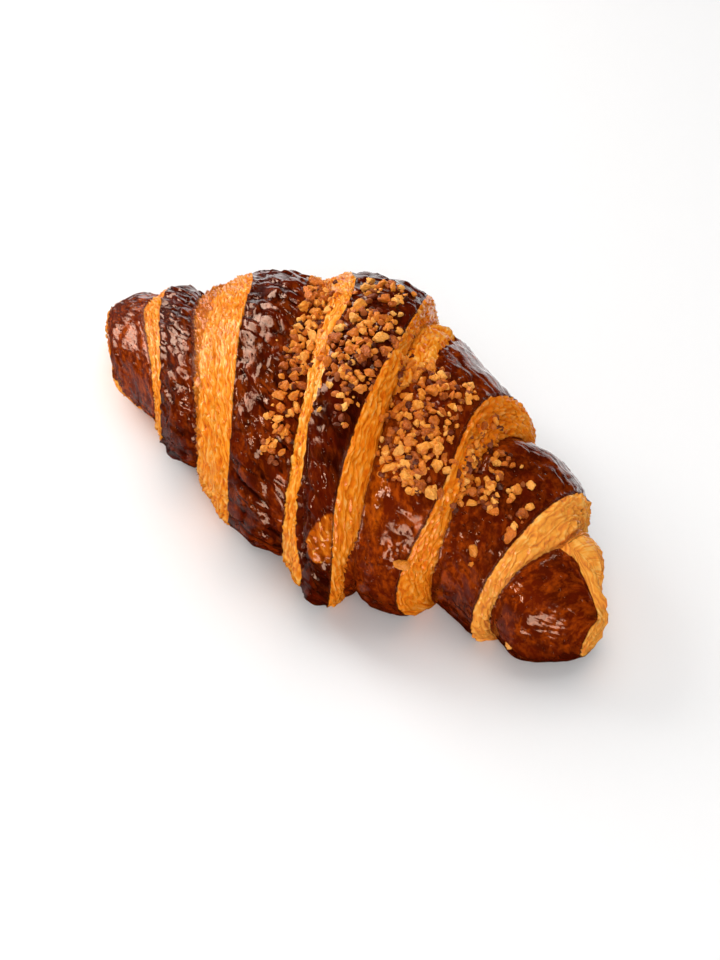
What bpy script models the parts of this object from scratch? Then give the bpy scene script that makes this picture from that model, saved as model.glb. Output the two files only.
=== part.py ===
"""A large baked croissant with a dark chocolate glaze and chopped nuts, as one closed solid.

The roll lies along X and rests on z = 0. Its wrapped bands of dough step down from the middle
band to both ends, and each step shows the cut layers of the dough. -Y is the near side, where
the point of the dough is tucked under and the bands come closest together.
"""

import math
import random

import bmesh
import bpy
import numpy as np
from mathutils import Matrix, Vector

MM = 0.001  # the dimensions below are in millimetres

# The loaf without its steps: x, near half-width, far half-width, height.
LOAF = (
    (-86.0, 15.5, 10.0, 16.0),
    (-62.0, 21.0, 20.0, 27.5),
    (-42.0, 27.5, 29.5, 39.5),
    (-20.0, 35.0, 37.5, 49.5),
    (4.0, 38.0, 40.5, 52.5),
    (26.0, 38.5, 32.0, 48.0),
    (42.0, 28.0, 30.0, 41.5),
    (58.0, 15.5, 27.5, 32.5),
    (72.0, 16.5, 16.5, 28.0),
    (90.0, 5.0, 10.0, 21.0),
)
LEFT_TIP, LEFT_SHOULDER = -89.0, -64.0  # the tips round off outside the shoulders
RIGHT_TIP, RIGHT_SHOULDER = 87.5, 71.0
TIP_POWER = 2.2  # how blunt the tips are
WAIST = 0.42  # height of the widest line, as a share of the height
BELLY = 1.22  # how far the lower half would reach without the flat base
FULLNESS = 0.92  # under 1 makes the cross-section fuller than an ellipse

# The edges of the bands: x on the ridge, lean there, x on the near side, x on the far side, and
# how far the edge stands proud of the loaf. At each step a lip stands over the base beside it.
EDGES = {
    "step_1_base": (-72.0, 2.0, -41.0, -82.0, -1.0),
    "step_1_lip": (-66.5, 18.0, -33.0, -76.0, 1.0),
    "step_2_base": (-53.5, 21.0, -18.0, -65.0, -2.0),
    "step_2_lip": (-32.7, 31.4, 0.7, -60.0, 2.5),
    "step_3_base": (-8.0, 27.5, 16.5, -40.0, -0.8),
    "step_3_lip": (-2.3, 19.2, 27.1, -35.0, 3.0),
    "step_4_lip": (14.8, 15.4, 34.0, -7.3, 4.5),
    "step_4_base": (18.4, 23.4, 35.2, 2.3, -2.0),
    "step_5_lip": (39.2, 16.3, 45.5, 39.4, 3.0),
    "step_5_base": (44.4, 7.9, 49.6, 44.7, -2.0),
    "step_6_lip": (62.7, 1.2, 62.2, 63.9, 3.0),
    "step_6_base": (69.5, -4.5, 65.5, 66.0, -1.0),
}
# The glazed skin of each band between its two edges, and how far it puffs up.
BANDS = (
    ("step_1_lip", "step_2_base", 1.2),
    ("step_2_lip", "step_3_base", 2.0),
    ("step_3_lip", "step_4_lip", 1.5),
    ("step_4_base", "step_5_lip", 2.0),
    ("step_5_base", "step_6_lip", 2.0),
)
TIP_PUFF = 1.2
# The cut end of the roll at each tip: the way it faces, a point on it, how far it bulges out.
LEFT_CUT = ((-0.62, -0.75, -0.20), (-80.5, -8.0, 11.0), 1.6)
RIGHT_CUT = ((0.47, 0.80, 0.31), (81.4, 4.0, 12.5), 4.2)
CUT_EDGE_PROUD = 1.0
TIP_MARGIN = 2.0  # the cut edge stops this far short of a tip
STEP_LAYERS = (0.0, 0.5, -0.4, 0.4, 0.0)  # ledges of the cut layers, from the lip to the base
WIDE_STEP = 10.0  # the ledges are shallower where a step is narrower than this
WRINKLE = 0.45  # depth of the slow wrinkles in the glaze

# The chopped nuts in each patch: band, from and to along the band, from and to in degrees round
# the roll, how many, smallest and largest radius.
NUTS = (
    (1, 0.74, 0.98, 68, 108, 21, 1.0, 2.1),
    (1, 0.64, 0.96, 108, 134, 12, 1.0, 2.1),
    (1, 0.60, 0.88, 134, 145, 3, 0.9, 1.2),
    (2, 0.15, 0.85, 62, 82, 11, 1.1, 2.1),
    (2, 0.10, 0.95, 82, 106, 26, 1.0, 2.1),
    (2, 0.30, 0.80, 106, 116, 4, 1.0, 1.5),
    (3, 0.08, 0.72, 77, 98, 20, 1.1, 2.1),
    (3, 0.12, 0.88, 98, 120, 27, 1.0, 2.1),
    (3, 0.72, 0.95, 72, 90, 4, 1.0, 1.5),
    (4, 0.08, 0.58, 76, 106, 10, 1.0, 1.6),
    (4, 0.78, 0.90, 90, 112, 2, 1.7, 2.2),
)
NUT_SINK = 0.3  # how far a nut's middle lies over the glaze, as a share of its radius
NUT_SEED = 11

# Fineness of the mesh.
AROUND = 40  # points round the roll
BAND_COLUMNS = 6
STEP_COLUMNS = 4
TIP_COLUMNS = 6
CUT_RINGS = (0.1, 0.28, 0.5, 0.75)  # shares of the way in from the cut edge to its middle

GLAZE_COLOUR = (0.13, 0.035, 0.012, 1.0)


def smooth_through(xs, table, column):
    """Monotone cubic through one column of a table whose first column is x."""
    table = np.array(table)
    x, y = table[:, 0], table[:, column]
    run = np.diff(x)
    slope = np.diff(y) / run
    product, total = slope[:-1] * slope[1:], slope[:-1] + slope[1:]
    middle = np.where(product > 0, 2 * product / np.where(product > 0, total, 1.0), 0.0)
    tangent = np.concatenate([slope[:1], middle, slope[-1:]])
    i = np.clip(np.searchsorted(x, xs) - 1, 0, len(run) - 1)
    t = (xs - x[i]) / run[i]
    return (
        (1 + 2 * t) * (1 - t) ** 2 * y[i]
        + t * (1 - t) ** 2 * run[i] * tangent[i]
        + t**2 * (3 - 2 * t) * y[i + 1]
        + t**2 * (t - 1) * run[i] * tangent[i + 1]
    )


def tip_rounding(x):
    """From 1 along the roll down to 0 at both tips."""
    right = np.clip((x - RIGHT_SHOULDER) / (RIGHT_TIP - RIGHT_SHOULDER), 0, 1)
    left = np.clip((LEFT_SHOULDER - x) / (LEFT_SHOULDER - LEFT_TIP), 0, 1)
    return np.sqrt((1 - right**TIP_POWER) * (1 - left**TIP_POWER))


def loaf_point(x, angle, proud):
    """Points of the roll at x and at an angle from +Y over the top, standing proud of the loaf."""
    near, far, height = (smooth_through(x, LOAF, column) for column in (1, 2, 3))
    rounding = tip_rounding(x)
    across, up = np.cos(angle), np.sin(angle)
    proud = proud * np.clip(2 * rounding, 0, 1)
    waist = WAIST * height
    half = np.where(across > 0, far, near) * rounding + proud
    above = (height - waist) * rounding + proud
    below = BELLY * waist * rounding + proud / 2
    y = half * np.sign(across) * np.abs(across) ** FULLNESS
    lift = np.abs(up) ** FULLNESS
    z = np.where(up > 0, waist + above * lift, np.maximum(waist - below * lift, 0.0))
    return np.stack([x + 0 * y, y, z], -1)


def edge_x(name, angle):
    """Where a band's edge lies, at each angle round the roll."""
    ridge, lean, near, far, _ = EDGES[name]
    side = -np.cos(angle)
    reach = np.where(side > 0, near - ridge - lean, far - ridge + lean)
    return ridge + lean * side + reach * side**2


def cut_x(cut, angle, inside, tip):
    """Where the plane of a cut end meets the roll, at each angle, between inside and the tip."""
    facing, point = np.array(cut[0]), np.array(cut[1])
    low, high = np.full_like(angle, inside), np.full_like(angle, tip)
    for _ in range(30):
        middle = (low + high) / 2
        within = (loaf_point(middle, angle, CUT_EDGE_PROUD) - point) @ facing < 0
        low, high = np.where(within, middle, low), np.where(within, high, middle)
    return (low + high) / 2


def wrinkle(x, angle):
    """Slow wrinkles of the glaze, as a height over it."""
    long_wave = np.sin(0.36 * x + 2.6 * np.sin(angle + 0.7))
    cross_wave = np.sin(0.19 * x - 4.0 * angle) + np.sin(0.27 * x + 7.0 * angle + 1.3)
    return WRINKLE * long_wave * cross_wave * 0.5


def band_point(band, share, angle):
    """The glazed skin of a band at a share of the way along it."""
    first, last, puff = BANDS[band]
    start, end = edge_x(first, angle), edge_x(last, angle)
    x = start + (end - start) * share
    hump = np.sin(math.pi * share)
    proud = EDGES[first][-1] * (1 - share) + EDGES[last][-1] * share + puff * hump
    return loaf_point(x, angle, proud + wrinkle(x, angle) * hump)


def step_point(step, share, angle):
    """A step at a share of the way from its left edge to its right edge."""
    names = [name for name in EDGES if name.startswith(f"step_{step}")]
    start, end = (edge_x(name, angle) for name in names)
    from_lip = share if names[0].endswith("lip") else 1 - share
    lip, base = EDGES[f"step_{step}_lip"][-1], EDGES[f"step_{step}_base"][-1]
    layers = np.interp(from_lip, np.linspace(0, 1, len(STEP_LAYERS)), STEP_LAYERS)
    layers = layers * np.clip((end - start) / WIDE_STEP, 0, 1)
    return loaf_point(
        start + (end - start) * share, angle, lip + (base - lip) * from_lip**1.8 + layers
    )


def tip_rings(cut_edge, base, angle):
    """The glazed rings from a cut edge to the base of the first step beside it."""
    middle = edge_x(base, angle)
    for share in np.arange(TIP_COLUMNS) / TIP_COLUMNS:
        eased = 1 - math.cos(share * math.pi / 2)
        x = cut_edge + (middle - cut_edge) * eased
        hump = math.sin(math.pi * share)
        proud = CUT_EDGE_PROUD * (1 - share) + EDGES[base][-1] * share + TIP_PUFF * hump
        yield loaf_point(x, angle, proud + wrinkle(x, angle) * hump)


def cut_rings(cut, edge_ring):
    """The rings of a bulging cut face, from its edge inwards, and the point in its middle."""
    facing, bulge = np.array(cut[0]), cut[2]
    middle = edge_ring.mean(axis=0)
    for share in CUT_RINGS:
        rise = bulge * math.sin(min(1.0, 2 * share) * math.pi / 2)
        yield edge_ring + (middle - edge_ring) * share + facing * rise
    yield middle + facing * bulge


def roll_rings(angle):
    """The rings of the whole roll from left to right, and the points that close its two ends."""
    left_edge = cut_x(LEFT_CUT, angle, LEFT_SHOULDER, LEFT_TIP + TIP_MARGIN)
    right_edge = cut_x(RIGHT_CUT, angle, RIGHT_SHOULDER, RIGHT_TIP - TIP_MARGIN)
    left_tip = list(tip_rings(left_edge, "step_1_base", angle))
    right_tip = list(tip_rings(right_edge, "step_6_base", angle))
    *left_face, left_end = cut_rings(LEFT_CUT, left_tip[0])
    *right_face, right_end = cut_rings(RIGHT_CUT, right_tip[0])
    rings = left_face[::-1] + left_tip
    for step in range(1, 7):
        rings += [step_point(step, i / STEP_COLUMNS, angle) for i in range(STEP_COLUMNS + 1)]
        if step <= len(BANDS):
            rings += [
                band_point(step - 1, i / BAND_COLUMNS, angle) for i in range(1, BAND_COLUMNS)
            ]
    rings += right_tip[:0:-1] + right_tip[:1] + right_face
    return rings, left_end, right_end


def roll_mesh():
    """The closed roll of dough, without the nuts."""
    angle = np.arange(AROUND) * 2 * math.pi / AROUND
    rings, left_end, right_end = roll_rings(angle)
    shape = bmesh.new()
    loops = [[shape.verts.new(point * MM) for point in ring] for ring in rings]
    ends = [shape.verts.new(point * MM) for point in (left_end, right_end)]
    for i in range(AROUND):
        j = (i + 1) % AROUND
        shape.faces.new((ends[0], loops[0][i], loops[0][j]))
        shape.faces.new((ends[1], loops[-1][j], loops[-1][i]))
        for here, there in zip(loops, loops[1:]):
            shape.faces.new((here[i], there[i], there[j]))
            shape.faces.new((here[i], there[j], here[j]))
    bmesh.ops.recalc_face_normals(shape, faces=shape.faces)
    mesh = bpy.data.meshes.new("croissant")
    shape.to_mesh(mesh)
    shape.free()
    return mesh


def outward(band, share, angle):
    """The way the skin of a band faces."""
    here = band_point(band, share, angle)
    along = band_point(band, share + 0.02, angle) - here
    around = band_point(band, share, angle + 0.02) - here
    return Vector(np.cross(around, along)).normalized()


def nut_mesh(chance, radius):
    """A broken crumb of nut: a ball of 20 faces, knocked out of shape."""
    shape = bmesh.new()
    bmesh.ops.create_icosphere(shape, subdivisions=1, radius=radius * MM)
    stretch = Vector((chance.uniform(0.95, 1.35), chance.uniform(0.7, 1.0), 0.8))
    for corner in shape.verts:
        corner.co *= chance.uniform(0.78, 1.18)
        corner.co *= stretch
    mesh = bpy.data.meshes.new("nut")
    shape.to_mesh(mesh)
    shape.free()
    return mesh


def scatter_nuts(collection):
    """Chopped nuts pressed into the glaze, the largest of each patch first and spaced apart."""
    chance = random.Random(NUT_SEED)
    placed = []
    for band, along_from, along_to, round_from, round_to, count, small, large in NUTS:
        sizes = sorted((chance.uniform(small, large) for _ in range(count)), reverse=True)
        for radius in sizes:
            for _ in range(40):
                share = chance.uniform(along_from, along_to)
                angle = math.radians(chance.uniform(round_from, round_to))
                spot = Vector(band_point(band, share, angle))
                if all((spot - other).length > 0.8 * (radius + size) for other, size in placed):
                    break
            else:
                continue
            placed.append((spot, radius))
            facing = outward(band, share, angle)
            nut = bpy.data.objects.new("nut", nut_mesh(chance, radius))
            turn = Matrix.Rotation(chance.uniform(0, 2 * math.pi), 4, "Z")
            lie = facing.to_track_quat("Z", "Y").to_matrix().to_4x4()
            middle = (spot + facing * radius * NUT_SINK) * MM
            nut.matrix_world = Matrix.Translation(middle) @ lie @ turn
            collection.objects.link(nut)


def rest_on_origin(mesh):
    """Moves the mesh so that the middle of its bounding box's bottom is the origin."""
    corners = np.array([corner.co for corner in mesh.vertices])
    low, high = corners.min(axis=0), corners.max(axis=0)
    middle = (low + high) / 2
    mesh.transform(Matrix.Translation((-middle[0], -middle[1], -low[2])))


def glaze_material():
    material = bpy.data.materials.new("glaze")
    material.use_nodes = True
    shader = material.node_tree.nodes["Principled BSDF"]
    shader.inputs["Base Color"].default_value = GLAZE_COLOUR
    shader.inputs["Roughness"].default_value = 0.35
    return material


def main():
    for leftover in list(bpy.data.objects):
        bpy.data.objects.remove(leftover)
    scene_objects = bpy.context.scene.collection.objects
    croissant = bpy.data.objects.new("croissant", roll_mesh())
    scene_objects.link(croissant)
    croissant.data.materials.append(glaze_material())

    nuts = bpy.data.collections.new("nuts")
    bpy.context.scene.collection.children.link(nuts)
    scatter_nuts(nuts)
    join = croissant.modifiers.new("nuts", "BOOLEAN")
    join.operation = "UNION"
    join.operand_type = "COLLECTION"
    join.collection = nuts
    join.solver = "EXACT"
    bpy.context.view_layer.update()
    joined = bpy.data.meshes.new_from_object(
        croissant.evaluated_get(bpy.context.evaluated_depsgraph_get())
    )
    croissant.modifiers.clear()
    croissant.data = joined
    for nut in list(nuts.objects):
        bpy.data.objects.remove(nut)
    bpy.data.collections.remove(nuts)
    rest_on_origin(joined)


if __name__ == "__main__":
    main()
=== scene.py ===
import functools
import math
import random

import bmesh
import bpy
import numpy as np
from mathutils import Matrix, Vector


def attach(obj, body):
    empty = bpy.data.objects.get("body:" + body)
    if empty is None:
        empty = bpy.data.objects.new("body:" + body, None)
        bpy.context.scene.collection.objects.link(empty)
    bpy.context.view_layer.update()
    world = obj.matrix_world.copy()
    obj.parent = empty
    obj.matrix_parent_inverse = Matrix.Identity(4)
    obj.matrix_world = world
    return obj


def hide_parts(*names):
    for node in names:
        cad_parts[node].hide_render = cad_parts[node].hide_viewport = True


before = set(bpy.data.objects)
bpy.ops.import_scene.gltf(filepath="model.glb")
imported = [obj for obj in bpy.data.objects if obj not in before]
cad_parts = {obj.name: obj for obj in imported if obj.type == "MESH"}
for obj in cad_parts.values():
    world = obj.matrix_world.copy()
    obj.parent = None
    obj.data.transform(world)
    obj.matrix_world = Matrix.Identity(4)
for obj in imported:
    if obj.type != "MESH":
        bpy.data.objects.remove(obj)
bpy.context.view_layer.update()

MM = 0.001  # sizes below are in millimetres, as in the part's source

# ---------------------------------------------------------------------------------------------
# The form of the roll, from the same sizes as the solid.

# The loaf without its steps: x, near half-width, far half-width, height.
LOAF = (
    (-86.0, 15.5, 10.0, 16.0),
    (-62.0, 21.0, 20.0, 27.5),
    (-42.0, 27.5, 29.5, 39.5),
    (-20.0, 35.0, 37.5, 49.5),
    (4.0, 38.0, 40.5, 52.5),
    (26.0, 38.5, 32.0, 48.0),
    (42.0, 28.0, 30.0, 41.5),
    (58.0, 15.5, 27.5, 32.5),
    (72.0, 16.5, 16.5, 28.0),
    (90.0, 5.0, 10.0, 21.0),
)
LEFT_TIP, LEFT_SHOULDER = -89.0, -64.0
RIGHT_TIP, RIGHT_SHOULDER = 87.5, 71.0
TIP_POWER = 2.2
WAIST = 0.42
BELLY = 1.22
FULLNESS = 0.92

# The edges of the bands: x on the ridge, lean, x on the near side, x on the far side, proud.
EDGES = {
    "step_1_base": (-72.0, 2.0, -41.0, -82.0, -1.0),
    "step_1_lip": (-66.5, 18.0, -33.0, -76.0, 1.0),
    "step_2_base": (-53.5, 21.0, -18.0, -65.0, -2.0),
    "step_2_lip": (-32.7, 31.4, 0.7, -60.0, 2.5),
    "step_3_base": (-8.0, 27.5, 16.5, -40.0, -0.8),
    "step_3_lip": (-2.3, 19.2, 27.1, -35.0, 3.0),
    "step_4_lip": (14.8, 15.4, 34.0, -7.3, 4.5),
    "step_4_base": (18.4, 23.4, 35.2, 2.3, -2.0),
    "step_5_lip": (39.2, 16.3, 45.5, 39.4, 3.0),
    "step_5_base": (44.4, 7.9, 49.6, 44.7, -2.0),
    "step_6_lip": (62.7, 1.2, 62.2, 63.9, 3.0),
    "step_6_base": (69.5, -4.5, 65.5, 66.0, -1.0),
}
# The bands: their two edges and how far they puff up between them.
BANDS = (
    ("step_1_lip", "step_2_base", 1.2),
    ("step_2_lip", "step_3_base", 2.0),
    ("step_3_lip", "step_4_lip", 1.5),
    ("step_4_base", "step_5_lip", 2.0),
    ("step_5_base", "step_6_lip", 2.0),
)
TIP_PUFF = 1.2
# The planes of the cut ends: the way they face, a point on them, and how far the face bulges.
LEFT_CUT = ((-0.62, -0.75, -0.20), (-80.5, -8.0, 11.0), 1.6)
RIGHT_CUT = ((0.47, 0.80, 0.31), (81.4, 4.0, 12.5), 4.2)
CUT_EDGE_PROUD = 1.0
TIP_MARGIN = 2.0
STEP_LAYERS = (0.0, 0.5, -0.4, 0.4, 0.0)
WIDE_STEP = 10.0
WRINKLE = 0.45

# The coarse nuts: band, from and to along it, from and to round it, how many, radius from and to.
NUTS = (
    (1, 0.74, 0.98, 68, 108, 21, 1.0, 2.1),
    (1, 0.64, 0.96, 108, 134, 12, 1.0, 2.1),
    (1, 0.60, 0.88, 134, 145, 3, 0.9, 1.2),
    (2, 0.15, 0.85, 62, 82, 11, 1.1, 2.1),
    (2, 0.10, 0.95, 82, 106, 26, 1.0, 2.1),
    (2, 0.30, 0.80, 106, 116, 4, 1.0, 1.5),
    (3, 0.08, 0.72, 77, 98, 20, 1.1, 2.1),
    (3, 0.12, 0.88, 98, 120, 27, 1.0, 2.1),
    (3, 0.72, 0.95, 72, 90, 4, 1.0, 1.5),
    (4, 0.08, 0.58, 76, 106, 10, 1.0, 1.6),
    (4, 0.78, 0.90, 90, 112, 2, 1.7, 2.2),
)
NUT_SINK = 0.3
NUT_SEED = 11

# Fineness of the fine mesh: spacing along the roll in mm, and round it in degrees where it shows.
BAND_SPACING = 0.8
STEP_SPACING = 0.45
TIP_SPACING = 0.95
TIP_LENGTH, STEP_DROP = 28.0, 6.0
SHOWN_FROM, SHOWN_TO = 8.0, 222.0
SHOWN_POINTS, HIDDEN_POINTS = 226, 26
CUT_SHARES = tuple(np.linspace(0.05, 0.95, 11))

# Camera, as the photograph was taken.
CAMERA_AT = (166.7, -200.7, 277.0)
CAMERA_AIM = (16.5, -9.2, 20.0)
CAMERA_ROLL = 5.16
FOCAL_LENGTH = 51.86  # on a sensor 36 mm long


def smooth_through(xs, table, column):
    """Monotone cubic through one column of a table whose first column is x."""
    table = np.array(table)
    x, y = table[:, 0], table[:, column]
    run = np.diff(x)
    slope = np.diff(y) / run
    product, total = slope[:-1] * slope[1:], slope[:-1] + slope[1:]
    middle = np.where(product > 0, 2 * product / np.where(product > 0, total, 1.0), 0.0)
    tangent = np.concatenate([slope[:1], middle, slope[-1:]])
    i = np.clip(np.searchsorted(x, xs) - 1, 0, len(run) - 1)
    t = (xs - x[i]) / run[i]
    return (
        (1 + 2 * t) * (1 - t) ** 2 * y[i]
        + t * (1 - t) ** 2 * run[i] * tangent[i]
        + t**2 * (3 - 2 * t) * y[i + 1]
        + t**2 * (t - 1) * run[i] * tangent[i + 1]
    )


def tip_rounding(x):
    """From 1 along the roll down to 0 at both tips."""
    right = np.clip((x - RIGHT_SHOULDER) / (RIGHT_TIP - RIGHT_SHOULDER), 0, 1)
    left = np.clip((LEFT_SHOULDER - x) / (LEFT_SHOULDER - LEFT_TIP), 0, 1)
    return np.sqrt((1 - right**TIP_POWER) * (1 - left**TIP_POWER))


def loaf_point(x, angle, proud):
    """Points of the roll at x and at an angle from +Y over the top, standing proud of the loaf."""
    near, far, height = (smooth_through(x, LOAF, column) for column in (1, 2, 3))
    rounding = tip_rounding(x)
    across, up = np.cos(angle), np.sin(angle)
    proud = proud * np.clip(2 * rounding, 0, 1)
    waist = WAIST * height
    half = np.where(across > 0, far, near) * rounding + proud
    above = (height - waist) * rounding + proud
    below = BELLY * waist * rounding + proud / 2
    y = half * np.sign(across) * np.abs(across) ** FULLNESS
    lift = np.abs(up) ** FULLNESS
    z = np.where(up > 0, waist + above * lift, np.maximum(waist - below * lift, 0.0))
    return np.stack([x + 0 * y, y, z], -1)


def edge_x(name, angle):
    """Where a band's edge lies, at each angle round the roll."""
    ridge, lean, near, far, _ = EDGES[name]
    side = -np.cos(angle)
    reach = np.where(side > 0, near - ridge - lean, far - ridge + lean)
    return ridge + lean * side + reach * side**2


def cut_x(cut, angle, inside, tip):
    """Where the plane of a cut end meets the roll, at each angle, between inside and the tip."""
    facing, point = np.array(cut[0]), np.array(cut[1])
    low, high = np.full_like(angle, inside), np.full_like(angle, tip)
    for _ in range(30):
        middle = (low + high) / 2
        within = (loaf_point(middle, angle, CUT_EDGE_PROUD) - point) @ facing < 0
        low, high = np.where(within, middle, low), np.where(within, high, middle)
    return (low + high) / 2


def wrinkle(x, angle):
    """Slow wrinkles of the glaze, as a height over it."""
    long_wave = np.sin(0.36 * x + 2.6 * np.sin(angle + 0.7))
    cross_wave = np.sin(0.19 * x - 4.0 * angle) + np.sin(0.27 * x + 7.0 * angle + 1.3)
    return WRINKLE * long_wave * cross_wave * 0.5


def band_point(band, share, angle):
    """The glazed skin of a band at a share of the way along it."""
    first, last, puff = BANDS[band]
    start, end = edge_x(first, angle), edge_x(last, angle)
    x = start + (end - start) * share
    hump = np.sin(math.pi * share)
    proud = EDGES[first][-1] * (1 - share) + EDGES[last][-1] * share + puff * hump
    return loaf_point(x, angle, proud + wrinkle(x, angle) * hump)


def step_point(step, share, angle):
    """A step at a share of the way from its left edge to its right edge."""
    names = [name for name in EDGES if name.startswith(f"step_{step}")]
    start, end = (edge_x(name, angle) for name in names)
    from_lip = share if names[0].endswith("lip") else 1 - share
    lip, base = EDGES[f"step_{step}_lip"][-1], EDGES[f"step_{step}_base"][-1]
    layers = np.interp(from_lip, np.linspace(0, 1, len(STEP_LAYERS)), STEP_LAYERS)
    layers = layers * np.clip((end - start) / WIDE_STEP, 0, 1)
    return loaf_point(
        start + (end - start) * share, angle, lip + (base - lip) * from_lip**1.8 + layers
    )


def tip_point(cut_edge, base, share, angle):
    """The glaze of a tip, from the cut edge to the base of the first step beside it."""
    eased = 1 - math.cos(share * math.pi / 2)
    x = cut_edge + (edge_x(base, angle) - cut_edge) * eased
    hump = math.sin(math.pi * share)
    proud = CUT_EDGE_PROUD * (1 - share) + EDGES[base][-1] * share + TIP_PUFF * hump
    return loaf_point(x, angle, proud + wrinkle(x, angle) * hump)


def cut_point(cut, edge_ring, share):
    """A ring of a bulging cut face at a share of the way in from its edge."""
    middle = edge_ring.mean(axis=0)
    bulge = cut[2] * math.sin(min(1.0, 2 * share) * math.pi / 2)
    return edge_ring + (middle - edge_ring) * share + np.array(cut[0]) * bulge


# ---------------------------------------------------------------------------------------------
# Noise over surface coordinates in millimetres.


def lattice(i, j, k, seed):
    """A fixed number from -1 to 1 for every corner of a lattice."""
    mixed = (i * 73856093) ^ (j * 19349663) ^ (k * 83492791) ^ (seed * 2654435761)
    mixed = (mixed ^ (mixed >> 13)) * 1274126177
    return ((mixed ^ (mixed >> 16)) & 0xFFFF) / 32767.5 - 1.0


def noise(u, v, seed):
    """Smooth noise from about -1 to 1 with features one unit apart."""
    i, j = np.floor(u).astype(np.int64), np.floor(v).astype(np.int64)
    s, t = u - i, v - j
    s, t = s * s * (3 - 2 * s), t * t * (3 - 2 * t)
    near = lattice(i, j, 0, seed) * (1 - s) + lattice(i + 1, j, 0, seed) * s
    far = lattice(i, j + 1, 0, seed) * (1 - s) + lattice(i + 1, j + 1, 0, seed) * s
    return near * (1 - t) + far * t


def layered_noise(u, v, seed, octaves=3):
    total = sum(noise(u * 2**n + 7.3 * n, v * 2**n, seed + n) / 2**n for n in range(octaves))
    return total / (2 - 0.5 ** (octaves - 1))


def plates(u, v, size_u, size_v, seed, tilt, step=0.15, sharpness=30.0):
    """Heights of flat tilted plates, as in crumpled film, and how near the folds between them are."""
    u, v = u / size_u, v / size_v
    i, j = np.floor(u).astype(np.int64), np.floor(v).astype(np.int64)
    total, weights, largest = 0.0, 1e-9, 0.0
    for di in (-1, 0, 1):
        for dj in (-1, 0, 1):
            ci, cj = i + di, j + dj
            du = u - ci - 0.5 - 0.4 * lattice(ci, cj, 1, seed)
            dv = v - cj - 0.5 - 0.4 * lattice(ci, cj, 2, seed)
            slope_u, slope_v = lattice(ci, cj, 4, seed), lattice(ci, cj, 5, seed)
            height = tilt * (slope_u * du * size_u + slope_v * dv * size_v)
            weight = np.exp(-sharpness * (du * du + dv * dv))
            total = total + weight * (height + step * lattice(ci, cj, 3, seed))
            weights = weights + weight
            largest = np.maximum(largest, weight)
    return total / weights, np.clip(2 - 2 * largest / weights, 0, 1)


# ---------------------------------------------------------------------------------------------
# The fine mesh of the roll.

# The roll's sections from left to right; a point's section is its number here.
SECTIONS = (
    "cut_left", "tip_left", "step_1", "band_1", "step_2", "band_2", "step_3", "band_3",
    "step_4", "band_4", "step_5", "band_5", "step_6", "tip_right", "cut_right",
)
KINDS = ("cut", "glaze", "layers")
GLAZED, BARE = KINDS.index("glaze"), KINDS.index("layers")
FAR_OFF = 99.0  # the distance given where a section has no edge of that kind

# For each glazed section: how much it has of crumpled plates, of folds that run round the roll and
# of creases that run along it, how light its brown is, and how much lighter it gets low down on
# the near side.
GLAZE = {
    "tip_left": (0.35, 0.9, 0.2, 0.6, 0.3),
    "band_1": (1.0, 0.5, 0.8, 0.05, 0.2),
    "band_2": (1.0, 0.0, 1.0, 0.1, 0.25),
    "band_3": (1.0, 0.0, 0.6, 0.05, 0.08),
    "band_4": (0.35, 0.3, 0.2, 0.45, 0.45),
    "band_5": (0.35, 0.3, 0.2, 0.3, 0.35),
    "tip_right": (0.2, 0.35, 0.1, 0.35, 0.4),
}
GLAZE_TRAITS = ("plates", "folds", "creases", "brown", "light_near")
LAYER_PITCH = 2.1  # from one cut layer to the next
LAYER_HEIGHT = 0.75

# Places with a look of their own: where they are in space, and how far they reach.
BLISTER = ((31.2, -38.3, 33.4), (4.2, 9.0, 7.8))
BUBBLE, BUBBLE_HEIGHT = ((33.2, -39.5, 25.9), 2.0), 1.6
CRUMPLES = (  # with how strong they are
    ((45.7, -24.7, 30.0), 6.5, 1.2),
    ((78.6, -12.1, 16.5), 8.5, 0.7),
    ((41.0, -19.5, 40.5), 3.5, 1.2),
    ((19.0, -25.0, 50.5), 5.0, 1.2),
    ((55.6, -13.3, 30.9), 5.0, 1.2),
    ((60.6, -10.6, 31.5), 3.5, 1.2),
    ((53.2, -16.6, 25.3), 4.0, 1.0),
)
CORNER_HOLES = (((68.1, 12.8, 26.4), 1.2), ((65.8, 18.0, 25.3), 1.0))
HOLE_DEPTH = 0.9

# Stretches of the edges, as mm and as degrees round the roll from the far side over the top.
RAGGED = 2.5  # size of the notches where glaze ends raggedly
CARAMEL_REACH, CARAMEL_TAPER = 11.5, 0.08  # the darker ledge of step 2, and less for each degree
GLAZE_OVER_STEP_3 = (2.7, 158, 17)  # width, middle and spread
GLAZE_OVER_STEP_4 = (3.0, 158, 14)  # width, start and run
BARE_BESIDE_STEP_3 = (3.0, 108, 12)  # width, middle and spread
AMBER_MARGIN = (4.0, 128, 24)  # width, middle and spread
CRUMBLY_STRETCH = (72, 26)  # middle and spread
TERRACES = (("band_4", 9.0), ("band_2", 4.5))  # bands laid bare at the far side, and how wide
TERRACE_ENDS = ((94, -20), (10, 30))  # start and run of each end of the terraces
NOTCH = 0.9  # how deep the ragged notches go
AWAY = 20.0  # how far a bared part is said to be from the other edge, so that it has no glaze
NEAR_SIDE, UNDERSIDE = (95, 45), (165, 30)  # start and run
BARE_UNDER_TIP = (0.3, 181, 0.4, -63)  # mm for each degree from 181, less for each mm past -63
CORNER_TRIM = 10.0  # how far the corner of the round end's glaze is drawn in
BASE_FADE = 2.0  # height over which the relief fades in, as the base stays flat


def shares(length, spacing):
    """Evenly spaced shares from 0, without 1, for a stretch of that length."""
    count = max(3, round(length / spacing))
    return np.arange(count) / count


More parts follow.
